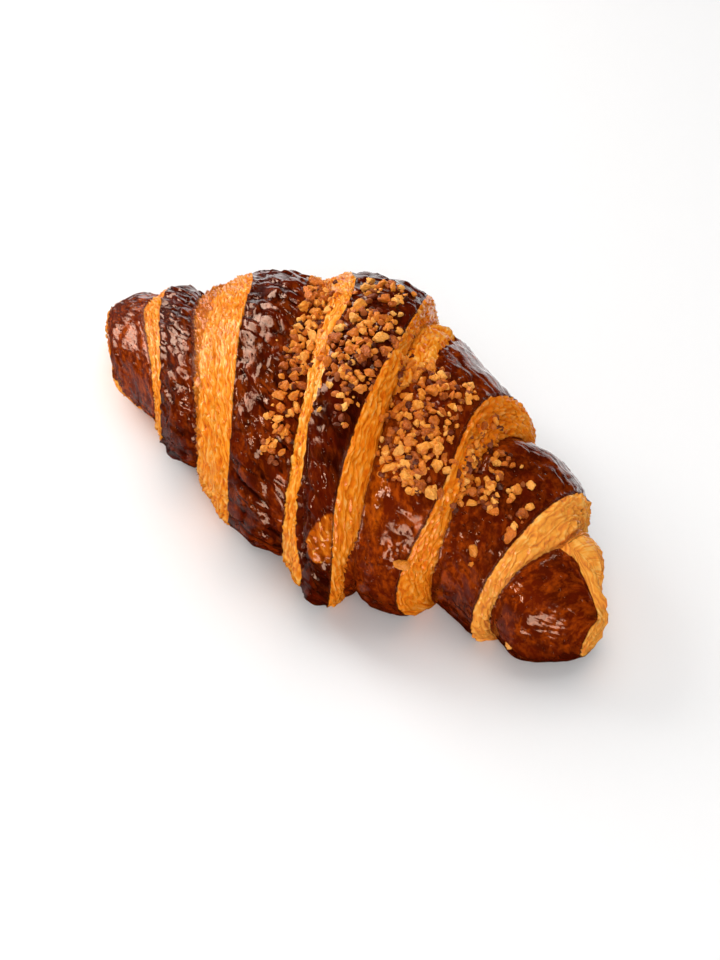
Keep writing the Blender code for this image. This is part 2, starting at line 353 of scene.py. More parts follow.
def sections(angle):
    """The roll from left to right: name, kind of skin, the kinds of its left and right edge, rings."""
    left = cut_x(LEFT_CUT, angle, LEFT_SHOULDER, LEFT_TIP + TIP_MARGIN)
    right = cut_x(RIGHT_CUT, angle, RIGHT_SHOULDER, RIGHT_TIP - TIP_MARGIN)
    left_ring = tip_point(left, "step_1_base", 0.0, angle)
    right_ring = tip_point(right, "step_6_base", 0.0, angle)
    tip = shares(TIP_LENGTH, TIP_SPACING)
    face = [cut_point(LEFT_CUT, left_ring, s) for s in CUT_SHARES[::-1]]
    yield "cut_left", "cut", None, "lip", face
    rings = [tip_point(left, "step_1_base", s, angle) for s in tip]
    yield "tip_left", "glaze", "lip", "base", rings
    for step in range(1, 7):
        ends = ("base", "lip") if step < 4 else ("lip", "base")
        width = np.ptp([edge_x(f"step_{step}_{end}", math.pi / 2) for end in ends])
        rings = [step_point(step, s, angle) for s in shares(width + STEP_DROP, STEP_SPACING)]
        yield f"step_{step}", "layers", *ends, rings
        if step < 6:
            first, last, _ = BANDS[step - 1]
            width = edge_x(last, math.pi / 2) - edge_x(first, math.pi / 2)
            rings = [band_point(step - 1, s, angle) for s in shares(width, BAND_SPACING)]
            yield f"band_{step}", "glaze", first[7:], last[7:], rings
    rings = [tip_point(right, "step_6_base", 1 - s, angle) for s in tip]
    yield "tip_right", "glaze", "base", "lip", rings
    face = [cut_point(RIGHT_CUT, right_ring, s) for s in CUT_SHARES]
    yield "cut_right", "cut", "lip", None, [right_ring, *face]


def lengths_along(points):
    """How far each ring lies from the first one, at each angle."""
    steps = np.linalg.norm(np.diff(points, axis=0), axis=2)
    return np.concatenate([np.zeros((1, points.shape[1])), np.cumsum(steps, axis=0)])


def surface(angle):
    """The smooth rings and, at each point, where it lies on its section, as named grids."""
    parts = list(sections(angle))
    names = ("section", "lip", "base", "along", "kind", *GLAZE_TRAITS)
    grid = {name: [] for name in names}
    for number, (name, kind, start, end, rings) in enumerate(parts):
        following = parts[number + 1][-1][0] if number + 1 < len(parts) else rings[-1]
        run = lengths_along(np.array(rings + [following]))
        ends = {start: run[:-1], end: run[-1:] - run[:-1]}
        if start == end:
            ends = {start: np.minimum(run[:-1], run[-1:] - run[:-1])}
        sign = -1 if kind == "glaze" else 1
        far = np.full_like(run[:-1], FAR_OFF)
        grid["lip"].append(sign * ends.get("lip", far))
        grid["base"].append(sign * ends.get("base", far))
        grid["along"].append(run[:-1])
        grid["section"].append(np.full_like(far, SECTIONS.index(name)))
        grid["kind"].append(np.full_like(far, KINDS.index(kind)))
        for trait, value in zip(GLAZE_TRAITS, GLAZE.get(name, (0.0,) * len(GLAZE_TRAITS))):
            grid[trait].append(np.full_like(far, value))
    grid = {name: np.concatenate(blocks) for name, blocks in grid.items()}
    points = np.concatenate([np.array(part[-1]) for part in parts])
    steps = np.linalg.norm(points - np.roll(points, 1, axis=1), axis=2)
    steps[:, 0] = 0
    grid["around"] = np.cumsum(steps, axis=1)
    grid["around"] -= grid["around"][:, points.shape[1] // 2][:, None]
    return points, grid


def outward_normals(points):
    """Unit normals of the rings' surface, pointing out of it."""
    along = np.gradient(points, axis=0)
    around = np.roll(points, -1, axis=1) - np.roll(points, 1, axis=1)
    normal = np.cross(around, along)
    return normal / (np.linalg.norm(normal, axis=2, keepdims=True) + 1e-9)


def closeness(points, middle, reach):
    """1 at a place, falling to 0 where its reach ends."""
    apart = np.linalg.norm((points - middle) / reach, axis=-1)
    return np.clip(1 - apart, 0, 1)


def within(grid, *names):
    """Where the points of these sections are."""
    return np.isin(grid["section"], [SECTIONS.index(name) for name in names])


def bell(turn, middle, spread):
    """1 at an angle, falling smoothly to both sides of it."""
    return np.exp(-(((turn - middle) / spread) ** 2))


def rise(turn, start, run):
    """0 up to an angle, then evenly up to 1 over the run, which is negative to rise backwards."""
    return np.clip((turn - start) / run, 0, 1)


def valleys(u, v, seed):
    """Narrow creases that run along u, one unit of v apart, with flat skin between them."""
    phase = v + 0.9 * layered_noise(u * 0.5, v * 0.5, seed, 2)
    aside = np.abs(phase - np.floor(phase) - 0.5) * 2
    strength = np.clip(0.6 + noise(u, np.floor(phase) * 5.3, seed + 7), 0, 1)
    return -strength * np.clip((aside - 0.72) / 0.28, 0, 1) ** 1.5


def glaze_relief(points, grid, u, v):
    """The glaze: tilted plates, creases, folds and lumps, and how deep its creases are."""
    lip, base = grid["lip"], grid["base"]
    slanted_u, slanted_v = u * 0.94 - v * 0.34, v * 0.94 + u * 0.34
    large, fold = plates(slanted_u, slanted_v, 6.5, 4.4, 5, 0.22, 0.15, 70.0)
    small, _ = plates(u, v, 3.2, 2.6, 6, 0.09, 0.03)
    small *= 1 - 0.5 * grid["plates"]
    creases = 0.6 * grid["creases"] * valleys(u / 9, v / 4.6, 11) - 0.3 * grid["plates"] * fold**2
    folds = 0.35 * layered_noise(u / 2.4, v / 12, 12, 2)
    lumps = 0.3 * layered_noise(u / 6, v / 5, 9, 2)
    glaze = grid["plates"] * large + small + creases + grid["folds"] * folds
    glaze += (1 - grid["plates"]) * lumps
    for middle, reach, strength in CRUMPLES:
        near = np.clip(2 * closeness(points, middle, reach), 0, 1)
        glaze += near * strength * plates(u, v, 2.0, 1.7, 8, 0.35, 0.05)[0]
    glaze += 0.25 * np.exp(-((lip / 0.6) ** 2)) - 0.35 * np.exp(-((base / 0.9) ** 2))
    return glaze, creases


def layers_relief(grid, apart):
    """The cut layers of a step: wavy ridges beside each other, and how high they stand."""
    around, lip, base = grid["around"], grid["lip"], grid["base"]
    warp = layered_noise(around / 4.0, lip / 3.5 + apart, 13)
    phase = np.minimum(lip, 60) / LAYER_PITCH + 1.8 * warp
    ridges = 0.75 - np.abs(np.sin(math.pi * phase))
    ridges *= 0.8 + 0.6 * noise(around / 4, lip / 2.5 + apart, 15)
    ridges += 0.35 * plates(lip, around, 2.0, 3.0, 31, 0.6, 0.3)[0]
    layers = LAYER_HEIGHT * (1 + grid["crumbly"]) * ridges
    layers -= 0.8 * np.exp(-((base / 1.0) ** 2)) + 0.6 * grid["caramel"]
    return layers, ridges


def relief(points, grid):
    """How far each point is raised over the smooth roll, in mm, and where its layers stand out."""
    along, around = grid["along"], grid["around"]
    apart = grid["section"] * 37.0  # so that no two sections share their noise
    u = along + 1.2 * noise(along / 6 + apart, around / 6, 21) + 31 * apart
    v = around + 1.2 * noise(along / 6 + apart, around / 6, 22)
    glaze, creases = glaze_relief(points, grid, u, v)
    layers, ridges = layers_relief(grid, apart)
    glazed = grid["kind"] == GLAZED
    raised = 0.45 * layered_noise(along / 14 + apart, around / 15, 3)
    raised += np.where(glazed, glaze, layers)

    bubbled, veins = plates(u, v, 1.5, 2.2, 19, 0.8, 0.3, 40.0)
    raised += np.sqrt(grid["blister"]) * (1.4 + bubbled + 0.35 * veins)
    raised += BUBBLE_HEIGHT * np.sqrt(closeness(points, *BUBBLE)) * within(grid, "band_3")
    for middle, reach in CORNER_HOLES:
        raised -= HOLE_DEPTH * closeness(points, middle, reach)
    return raised, np.where(grid["blister"] > 0.1, veins, np.where(glazed, creases, ridges))


def recede(grid, edge, shift, strip, band):
    """Moves the glaze of a band over the edge of the strip beside it, by the shift at each angle."""
    grid[edge] -= shift * within(grid, strip, band)
    over = within(grid, strip) & (grid[edge] < 0)
    grid["kind"] = np.where(over, GLAZED, grid["kind"])
    for trait, value in zip(GLAZE_TRAITS, GLAZE[band]):
        grid[trait] = np.where(over, value, grid[trait])


def uncover(grid, edge, depth, name):
    """Bares a part of a glazed section, where the depth in from that part's edge is above 0."""
    bare = within(grid, name) & (depth > 0)
    other = "lip" if edge == "base" else "base"
    grid[edge] = np.where(bare, depth, grid[edge])
    grid[other] = np.where(bare, depth + AWAY, grid[other])
    grid["kind"] = np.where(bare, BARE, grid["kind"])
    return bare


def mark_places(points, grid, turn, ragged):
    """Adds to the grid where the blister, caramel ledge, crumbly layers and amber margin are."""
    blister = closeness(points, *map(np.array, BLISTER)) * within(grid, "band_3")
    grid["blister"] = blister * np.clip(5 * blister + 1.2 * ragged + 0.2, 0, 1)

    reach = CARAMEL_REACH - CARAMEL_TAPER * np.clip(turn - 90, 0, 90)
    patches = layered_noise(grid["along"] / 1.6, grid["around"] / 4.0, 52)
    ledge = np.clip(reach - grid["base"] + 2.0 * ragged, 0, 1) * within(grid, "step_2")
    grid["caramel"] = ledge * np.clip(0.9 + 0.9 * patches, 0.4, 1)
    grid["crumbly"] = bell(turn, *CRUMBLY_STRETCH) * within(grid, "step_5")

    width, *stretch = AMBER_MARGIN
    margin = np.clip(1 + (grid["base"] + width + 2 * ragged) / 2, 0, 1) * within(grid, "band_4")
    grid["margin"] = margin * bell(turn, *stretch)


def move_edges(points, grid, turn, ragged):
    """Lays glaze over the steps' edges, or bares the layers beside them, as the edges wander."""
    width, *stretch = GLAZE_OVER_STEP_3
    recede(grid, "lip", width * bell(turn, *stretch), "step_3", "band_3")
    width, *stretch = GLAZE_OVER_STEP_4
    recede(grid, "base", width * rise(turn, *stretch), "step_4", "band_4")

    far_side = rise(turn, *TERRACE_ENDS[0]) * rise(turn, *TERRACE_ENDS[1])
    grid["crumbly"] += 0.8 * grid["caramel"]
    for name, width in TERRACES:
        depth = np.where(far_side > 0, grid["base"] + width * far_side + NOTCH * ragged, -1)
        grid["crumbly"] += 0.8 * uncover(grid, "base", depth, name)

    width, *stretch = BARE_BESIDE_STEP_3
    reach = width * bell(turn, *stretch)
    uncover(grid, "lip", np.where(reach > 0.3, reach - grid["along"], -1), "band_3")

    widening, start, narrowing, inward = BARE_UNDER_TIP
    under = widening * (turn - start) - narrowing * np.maximum(points[..., 0] - inward, 0)
    uncover(grid, "lip", np.maximum(grid["lip"] + 0.8, under) + NOTCH * ragged, "tip_left")

    corner = np.clip(CORNER_TRIM + grid["lip"] + grid["base"], 0, CORNER_TRIM)
    grid["lip"] += corner * within(grid, "tip_right")
    grid["base"] += corner * within(grid, "tip_right")


def shown_angles():
    """Angles all the way round from below, close together where the roll is seen."""
    shown = np.linspace(SHOWN_FROM, SHOWN_TO, SHOWN_POINTS, endpoint=False)
    hidden = np.linspace(SHOWN_TO, SHOWN_FROM + 360, HIDDEN_POINTS, endpoint=False)
    below = hidden[hidden >= 270] - 360
    return np.radians(np.concatenate([below, shown, hidden[hidden < 270]]))


def attribute(mesh, name, values):
    """Stores a number, or a vector, at each point of a mesh."""
    kind = "FLOAT_VECTOR" if values.ndim == 2 else "FLOAT"
    layer = mesh.attributes.new(name, kind, "POINT")
    field = "vector" if values.ndim == 2 else "value"
    layer.data.foreach_set(field, values.astype(np.float32).ravel())


def closed_faces(rings, across):
    """Quads between the rings, and a fan of triangles to a corner at each end."""
    i, j = np.meshgrid(np.arange(rings - 1), np.arange(across), indexing="ij")
    here, after = i * across + j, i * across + (j + 1) % across
    quads = np.stack([here, here + across, after + across, after], -1).reshape(-1, 4)
    loop, last = np.arange(across), (rings - 1) * across
    left_fan = np.stack([np.full(across, rings * across), loop, (loop + 1) % across], -1)
    right_fan = np.stack([left_fan[:, 0] + 1, last + (loop + 1) % across, last + loop], -1)
    return quads.tolist() + left_fan.tolist() + right_fan.tolist()


def colour_fields(points, grid, turn, raised, ridge):
    """What the crust's material reads at each point."""
    # Lighter low down on the near side; darker again on the underside, which is painted shade.
    low = rise(turn, *NEAR_SIDE) - 1.3 * rise(turn, *UNDERSIDE)
    seam_width = np.where(within(grid, "band_2"), 10, 5)
    seam = 0.45 * np.exp(-np.abs(grid["base"]) / seam_width)
    crumbs = 0.6 * grid["crumbly"] * within(grid, "step_5")
    deep, faint = within(grid, "step_4", "step_5"), within(grid, "step_1", "step_2")
    return {
        "from_lip": grid["lip"],
        "from_base": grid["base"],
        "raised": raised,
        "light": np.maximum(grid["brown"] + grid["light_near"] * low, 0) + seam,
        "ridge": ridge,
        "amber": np.maximum(np.clip(3 * grid["blister"], 0, 1), grid["margin"]),
        "caramel": np.maximum(grid["caramel"], crumbs),
        "golden": np.select([deep, faint], [1.0, 0.4], 0.0),
        "pale": within(grid, "step_6", "tip_right", "cut_right") * 0.25,
        # Where the corner holes are, for the painted shade in them.
        "holes": sum(np.clip(2 * closeness(points, *hole), 0, 1) for hole in CORNER_HOLES),
    }


def make_roll():
    """The whole croissant without its nuts, as one closed mesh, and the middle of its base."""
    angle = shown_angles()
    points, grid = surface(angle)
    turn = np.degrees(angle)[None, :]
    ragged = layered_noise(grid["along"] / RAGGED, grid["around"] / RAGGED, 51)
    mark_places(points, grid, turn, ragged)
    move_edges(points, grid, turn, ragged)
    raised, ridge = relief(points, grid)
    fade = np.clip(points[..., 2] / BASE_FADE, 0, 1)
    bumpy = points + outward_normals(points) * (raised * fade)[..., None]
    bumpy[..., 2] = np.maximum(bumpy[..., 2], 0)

    corners = np.concatenate([bumpy.reshape(-1, 3), [bumpy[0].mean(0), bumpy[-1].mean(0)]])
    middle = (points.reshape(-1, 3).min(0) + points.reshape(-1, 3).max(0)) / 2
    middle[2] = 0
    mesh = bpy.data.meshes.new("roll")
    faces = closed_faces(*points.shape[:2])
    mesh.from_pydata(((corners - middle) * MM).tolist(), [], faces)
    mesh.shade_smooth()

    flow = np.stack([grid["along"], grid["around"], grid["section"] * 23.0], -1)
    attribute(mesh, "flow", np.concatenate([flow.reshape(-1, 3), np.zeros((2, 3))]))
    for name, values in colour_fields(points, grid, turn, raised, ridge).items():
        attribute(mesh, name, np.concatenate([values.ravel(), [values[0, 0], values[-1, 0]]]))
    roll = bpy.data.objects.new("roll", mesh)
    bpy.context.scene.collection.objects.link(roll)
    return roll, middle


# ---------------------------------------------------------------------------------------------
# Nuts.

COARSE_SCALE = 0.8  # the coarse nuts against the solid's, as small ones lie between them here
SMALL_NUTS_EACH = 6  # small crumbs for each coarse one of the solid
SMALL_RADIUS = (0.35, 1.15)
BROWN_SHARE = 0.25
FINE_FROM = 0.6  # smaller crumbs have fewer faces
LONE_TONE = 0.6  # the lone nuts are all pale
STEP_CRUMBS = (  # step, middle's share and degrees, spread of both, how many, share of brown ones
    (3, 0.15, 76, 0.15, 9, 14, 0.2),
    (3, 0.10, 100, 0.10, 14, 8, 0.2),
    (4, 0.85, 84, 0.15, 12, 20, 0.4),
    (5, 0.75, 90, 0.2, 13, 90, 0.4),
)
LONE_NUTS = (  # which stretch of the roll, share, degrees and radius
    (functools.partial(band_point, 3), 0.90, 120, 1.9),
    (functools.partial(band_point, 3), 0.95, 161, 1.5),
    (functools.partial(band_point, 4), 0.55, 137, 1.3),
    (functools.partial(band_point, 4), 0.62, 146, 0.8),
    (functools.partial(band_point, 4), 0.30, 95, 1.4),
    (functools.partial(band_point, 4), 0.58, 86, 1.4),
    (functools.partial(band_point, 4), 0.68, 79, 1.2),
    (functools.partial(tip_point, 84.0, "step_6_base"), 0.77, 190, 1.3),
)


def outward(spot_at, share, angle):
    """The way a stretch of the roll faces."""
    along = spot_at(min(1.0, share + 0.02), angle) - spot_at(max(0.0, share - 0.02), angle)
    around = spot_at(share, angle + 0.02) - spot_at(share, angle)
    return Vector(np.cross(around, along)).normalized()


def crumb_mesh(chance, radius, fine):
    """The corners and faces of a broken crumb of nut round the origin."""
    shape = bmesh.new()
    bmesh.ops.create_icosphere(shape, subdivisions=fine, radius=1.0)
    corners = np.array([corner.co for corner in shape.verts])
    faces = [[corner.index for corner in face.verts] for face in shape.faces]
    shape.free()
    shift = [chance.uniform(0, 50) for _ in range(3)]
    x, y, z = corners.T
    lump = noise(1.3 * x + shift[0] + z, 1.3 * y + shift[1], 41)
    corners *= (1 + 0.25 * lump)[:, None]
    for _ in range(8):  # flat faces where the nut broke
        way = np.array([chance.gauss(0, 1) for _ in range(3)])
        way /= np.linalg.norm(way)
        over = corners @ way - chance.uniform(0.45, 0.8)
        corners -= np.maximum(over, 0)[:, None] * way * 0.9
    rough = noise(4.1 * x + shift[2], 4.1 * y + 3 * z, 42)
    corners *= (1 + 0.2 * rough)[:, None]
    stretch = (chance.uniform(1.0, 1.45), chance.uniform(0.8, 1.05), 0.95)
    return corners * stretch * radius, faces


def nut_places(chance):
    """The coarse nuts where the solid has them, as section, share, angle and radius."""
    placed = []
    for band, along_from, along_to, round_from, round_to, count, small, large in NUTS:
        sizes = sorted((chance.uniform(small, large) for _ in range(count)), reverse=True)
        for radius in sizes:
            for _ in range(40):
                share = chance.uniform(along_from, along_to)
                angle = math.radians(chance.uniform(round_from, round_to))
                spot = Vector(band_point(band, share, angle))
                if all((spot - other).length > 0.8 * (radius + size) for other, size in placed):
                    break
            else:
                continue
            placed.append((spot, radius))
            yield band, share, angle, radius
            for _ in range(15):  # the draws that shape and turn the solid's nut
                chance.random()


def crumb_places(chance):
    """Small crumbs: how far along which stretch of the roll, how large and how brown."""
    for band, along_from, along_to, round_from, round_to, count, _, _ in NUTS:
        spot_at = functools.partial(band_point, band)
        for _ in range(count * SMALL_NUTS_EACH):
            share = along_from + (along_to - along_from) * chance.gauss(0.5, 0.32)
            turn = chance.uniform(round_from - 3, round_to + 4)
            brown = chance.random() < BROWN_SHARE
            yield spot_at, min(1.0, max(0.0, share)), turn, chance.uniform(*SMALL_RADIUS), brown
    for step, share, turn, spread, sweep, count, brown_share in STEP_CRUMBS:
        spot_at = functools.partial(step_point, step)
        for _ in range(count):
            place = min(1.0, max(0.0, chance.gauss(share, spread)))
            brown = chance.random() < brown_share
            yield spot_at, place, chance.gauss(turn, sweep), chance.uniform(*SMALL_RADIUS), brown


def joined(name, crumbs):
    """One mesh of many crumbs; each is its corners, its faces and its tone."""
    corners, faces, tones, first = [], [], [], 0
    for crumb, crumb_faces, tone in crumbs:
        corners.append(crumb)
        faces += [[first + corner for corner in face] for face in crumb_faces]
        tones += [tone] * len(crumb)
        first += len(crumb)
    mesh = bpy.data.meshes.new(name)
    mesh.from_pydata((np.concatenate(corners) * MM).tolist(), [], faces)
    attribute(mesh, "tone", np.array(tones))
    piece = bpy.data.objects.new(name, mesh)
    bpy.context.scene.collection.objects.link(piece)
    return piece


def make_nuts(middle):
    """The golden nuts and the brown crumbs, each kind one joined mesh."""
    chance = random.Random(NUT_SEED + 2)
    golden, brown = [], []

    def lay(spot_at, share, angle, radius, fine, kind, least_tone=0.0):
        crumb, faces = crumb_mesh(chance, radius, fine)
        facing = outward(spot_at, share, angle)
        tip = Matrix.Rotation(chance.uniform(-0.5, 0.5), 3, "X")
        turn = Matrix.Rotation(chance.uniform(0, 2 * math.pi), 3, "Z")
        lie = np.array(facing.to_track_quat("Z", "Y").to_matrix() @ turn @ tip)
        spot = spot_at(share, angle) + np.array(facing) * radius * NUT_SINK
        kind.append((crumb @ lie.T + spot - middle, faces, max(least_tone, chance.random())))

    for band, share, angle, radius in nut_places(random.Random(NUT_SEED)):
        lay(functools.partial(band_point, band), share, angle, COARSE_SCALE * radius, 3, golden)
    for spot_at, share, turn, radius, is_brown in crumb_places(random.Random(NUT_SEED + 1)):
        fine = 2 if radius > FINE_FROM else 1
        lay(spot_at, share, math.radians(turn), radius, fine, brown if is_brown else golden)
    for spot_at, share, turn, radius in LONE_NUTS:
        lay(spot_at, share, math.radians(turn), radius, 3, golden, LONE_TONE)
    return joined("nuts", golden), joined("crumbs", brown)


# ---------------------------------------------------------------------------------------------
# Materials.

CRUST_FIELDS = (
    "from_lip", "from_base", "raised", "light", "ridge", "amber", "caramel", "golden", "pale", "holes",
)
NUT_COLOURS = (
    (0.15, (146, 62, 8)),
    (0.38, (204, 104, 19)),
    (0.63, (234, 142, 40)),
    (0.90, (253, 188, 94)),
)
# The brown crumbs: their own dark brown, darkened further to stand for the shade in the gaps between
# the nuts, so partly painted shade.
CRUMB_COLOURS = (
    (0.15, (50, 12, 3)),
    (0.50, (110, 38, 8)),
    (0.90, (182, 94, 30)),
)
FLOOR_GREY = 0.84


class Shading:
    """A Principled material and short ways to add nodes to it."""

    def __init__(self, name):
        self.material = bpy.data.materials.new(name)
        self.material.use_nodes = True
        self.tree = self.material.node_tree
        self.shader = self.tree.nodes["Principled BSDF"]

    def add(self, kind, settings=None, **inputs):
        """A node with its settings and inputs; an input is a value or another node's output."""
        made = self.tree.nodes.new("ShaderNode" + kind)
        for key, value in (settings or {}).items():
            setattr(made, key, value)
        for key, value in inputs.items():
            self.feed(made.inputs[int(key[1:]) if key[0] == "_" else key.replace("_", " ")], value)
        return made

    def feed(self, socket, value):
        if isinstance(value, bpy.types.NodeSocket):
            self.tree.links.new(value, socket)
        else:
            socket.default_value = value

    def attribute(self, name):
        return self.add("Attribute", {"attribute_name": name})

    def math(self, operation, first, second=0.0):
        made = self.add("Math", {"operation": operation}, _0=first, _1=second)
        return made.outputs[0]

    def noise(self, vector, scale, detail=3.0, distortion=0.0, roughness=0.55):
        made = self.add(
            "TexNoise",
            Vector=vector,
            Scale=scale,
            Detail=detail,
            Distortion=distortion,
            Roughness=roughness,
        )
        return made.outputs["Fac"]

    def stretched(self, vector, scale):
        made = self.add("VectorMath", {"operation": "MULTIPLY"}, _0=vector, _1=scale)
        return made.outputs[0]

    def between(self, value, low, high, to_low=0.0, to_high=1.0):
        """The value from low to high, mapped smoothly to another range."""
        made = self.add(
            "MapRange",
            {"interpolation_type": "SMOOTHSTEP"},
            Value=value,
            From_Min=low,
            From_Max=high,
            To_Min=to_low,
            To_Max=to_high,
        )
        return made.outputs[0]

    def mix(self, share, first, second):
        """Two colours mixed by a share."""
        made = self.add("Mix", {"data_type": "RGBA"}, _0=share)
        self.feed(made.inputs[6], first)
        self.feed(made.inputs[7], second)
        return made.outputs[2]

    def ramp(self, value, *stops):
        """A colour ramp from (place, colour) stops."""
        made = self.add("ValToRGB", Fac=value)
        elements = made.color_ramp.elements
        elements.remove(elements[1])
        elements[0].position, elements[0].color = stops[0]
        for place, colour in stops[1:]:
            elements.new(place).color = colour
        return made.outputs["Color"]

    def set(self, **inputs):
        for key, value in inputs.items():
            self.feed(self.shader.inputs[key.replace("_", " ")], value)


def rgb(red, green, blue):
    """A colour as it looks on screen, from 0 to 255, as the linear colour a shader wants."""
    def linear(value):
        value /= 255
        return value / 12.92 if value <= 0.04045 else ((value + 0.055) / 1.055) ** 2.4
    return (linear(red), linear(green), linear(blue), 1.0)


def layers_colour(look, flow, field, curls):
    """The cut layers: painted light on their crests and painted shade between them, with wavy streaks
    and pores.
    """
    streaks = look.noise(look.stretched(flow, (1.0, 0.35, 1.0)), 0.5, 4.0, 1.5)
    # Painted light and shade: paler on the crests of the layers and of the wave, darker in the grooves
    # between them; the streaks are the layers' own grain.
    crests = look.math("MULTIPLY", field["ridge"], 0.3)
    grain = look.math("ADD", crests, look.math("MULTIPLY", curls, 0.34))
    layers = look.ramp(
        look.math("ADD", grain, look.math("MULTIPLY", streaks, 0.66)),
        (0.10, rgb(156, 56, 3)),
        (0.26, rgb(214, 98, 8)),
        (0.44, rgb(238, 132, 20)),
        (0.64, rgb(246, 154, 38)),
        (0.88, rgb(253, 190, 96)),
    )
    # Painted shade in the recess along a step's base, fading out 3 mm from it, together with the
    # caramel ledge's own darker colour.
    deep = look.math("MAXIMUM", look.between(field["from_base"], 0.0, 3.0, 0.5, 0.0), field["caramel"])
    layers = look.mix(look.math("MULTIPLY", deep, 0.8), layers, rgb(160, 70, 12))
    layers = look.mix(look.math("MULTIPLY", field["golden"], 0.3), layers, rgb(232, 104, 0))
    layers = look.mix(field["pale"], layers, rgb(250, 182, 96))
    pores = look.add("TexVoronoi", Vector=look.stretched(flow, (1.0, 0.8, 1.0)), Scale=0.4)
    pore = look.between(pores.outputs["Distance"], 0.04, 0.08, 0.3)
    return look.mix(pore, rgb(150, 60, 8), layers)


def glaze_colour(look, flow, field):
    """The glaze: dark and reddish, lighter in fine streaks where it is thin, with painted light where
    it stands higher and painted shade in its creases; honey in the blister, with painted highlights.
    """
    light, raised, ridge = field["light"], field["raised"], field["ridge"]
    cloud = look.noise(flow, 0.14, 3.0, 0.4)
    strokes = look.noise(look.stretched(flow, (1.0, 0.7, 1.0)), 0.5, 6.0, 0.25, 0.66)
    dark = look.mix(look.between(cloud, 0.35, 0.65), rgb(36, 3, 1), rgb(74, 12, 2))
    dark = look.mix(look.math("MULTIPLY", light, 0.5), dark, rgb(120, 36, 4))
    thin = look.math("MULTIPLY", look.between(strokes, 0.42, 0.70), look.math("ADD", light, 0.12))
    glaze = look.mix(look.math("MULTIPLY", thin, 0.75), dark, rgb(184, 74, 8))
    # Painted light: a lighter brown where the glaze stands higher.
    glaze = look.mix(look.between(raised, 0.1, 0.9, 0.0, 0.2), glaze, rgb(136, 50, 12))
    # Painted shade: near-black in the creases.
    glaze = look.mix(look.between(ridge, -0.5, -0.1), rgb(40, 5, 1), glaze)
    # The blister's honey, lighter where it stands higher, as painted light.
    honey = look.ramp(
        look.math("ADD", look.math("MULTIPLY", raised, 0.12), strokes),
        (0.40, rgb(112, 38, 3)),
        (0.62, rgb(190, 86, 7)),
        (0.90, rgb(238, 140, 34)),
    )
    # Painted highlight: pale along the blister's folds.
    honey = look.mix(look.between(ridge, 0.3, 0.9, 0.0, 0.9), honey, rgb(250, 176, 80))
    return look.mix(look.between(field["amber"], 0.2, 0.6), glaze, honey)


def glaze_ends(look, flow, field):
    """Two masks: 1 on bare layers and 0 on glaze, with a ragged border, and low on a lip's rim."""
    ragged = look.math("SUBTRACT", look.noise(look.stretched(flow, (0.6, 1.0, 1.0)), 0.6, 4.0), 0.5)
    inner = look.math("ADD", field["from_base"], look.math("MULTIPLY", ragged, 3.5))
    outer = look.math("ADD", field["from_lip"], look.math("MULTIPLY", ragged, 1.2))
    strip = look.between(look.math("MINIMUM", inner, outer), -0.15, 0.15)
    rim = look.between(look.math("ABSOLUTE", look.math("ADD", outer, 0.1)), 0.05, 0.3, 0.35)
    return strip, look.math("MAXIMUM", rim, field["amber"])


def crust_material():
    look = Shading("crust")
    flow = look.attribute("flow").outputs["Vector"]
    field = {name: look.attribute(name).outputs["Fac"] for name in CRUST_FIELDS}
    curls = look.add(
        "TexWave",
        Vector=look.stretched(flow, (1.0, 0.5, 1.0)),
        Scale=0.17,
        Distortion=14.0,
        Detail=3.0,
        Detail_Scale=1.8,
        Detail_Roughness=0.5,
    ).outputs["Fac"]

    strip, rim = glaze_ends(look, flow, field)
    colour = look.mix(strip, glaze_colour(look, flow, field), layers_colour(look, flow, field, curls))
    colour = look.mix(rim, rgb(70, 18, 4), colour)
    # Painted shade in the corner holes.
    colour = look.mix(field["holes"], colour, rgb(70, 34, 22))

    fine = look.noise(look.stretched(flow, (0.8, 1.0, 1.0)), 0.3, 3.0, 0.5)
    dull = look.math("MULTIPLY", strip, look.between(field["caramel"], 0.0, 1.0, 0.13, 0.03))
    roughness = look.math("ADD", dull, look.between(fine, 0.3, 0.7, 0.05, 0.11))
    dots = look.add("TexVoronoi", Vector=flow, Scale=0.55)
    dots = look.between(dots.outputs["Distance"], 0.0, 0.22, 1.1, 0.0)
    small = look.noise(look.stretched(flow, (1.0, 1.2, 1.0)), 0.7, 3.0, 0.3)
    small = look.math("ADD", look.math("MULTIPLY", small, 0.25), dots)
    height = look.mix(strip, small, look.math("MULTIPLY", curls, 0.22))
    bump = look.add("Bump", Height=height, Strength=0.8, Distance=0.0006)
    look.set(Base_Color=colour, Roughness=roughness, Normal=bump.outputs["Normal"])
    look.set(Specular_IOR_Level=0.25, Specular_Tint=(1.0, 0.74, 0.58, 1.0))
    return look.material


def nut_material(name, colours):
    """Broken nut, its colour from the tone of each crumb and a fine grain."""
    look = Shading(name)
    tone = look.attribute("tone").outputs["Fac"]
    place = look.add("TexCoord").outputs["Object"]
    grain = look.noise(place, 1400.0, 4.0)
    value = look.math("ADD", look.math("MULTIPLY", tone, 0.6), look.math("MULTIPLY", grain, 0.4))
    colour = look.ramp(value, *((at, rgb(*shade)) for at, shade in colours))
    bump = look.add("Bump", Height=look.noise(place, 1900.0, 5.0), Strength=0.9, Distance=0.0004)
    look.set(Base_Color=colour, Roughness=0.45, Normal=bump.outputs["Normal"])
    look.set(Specular_IOR_Level=0.35, Specular_Tint=(1.0, 0.85, 0.7, 1.0))
    return look.material


def floor_material():
    look = Shading("floor")
    look.set(Base_Color=(FLOOR_GREY, FLOOR_GREY, FLOOR_GREY, 1.0), Roughness=0.7)
    return look.material


# ---------------------------------------------------------------------------------------------
# Floor, light and camera, in metres.

FLOOR_HALF = 3.0
FLOOR_GAP = 0.0002  # below the flat underside
WORLD_STRENGTH = 0.42
WHITE, ROSY, WARM, PINK = (1.0, 1.0, 1.0), (1.0, 0.76, 0.62), (1.0, 0.84, 0.74), (1.0, 0.8, 0.75)

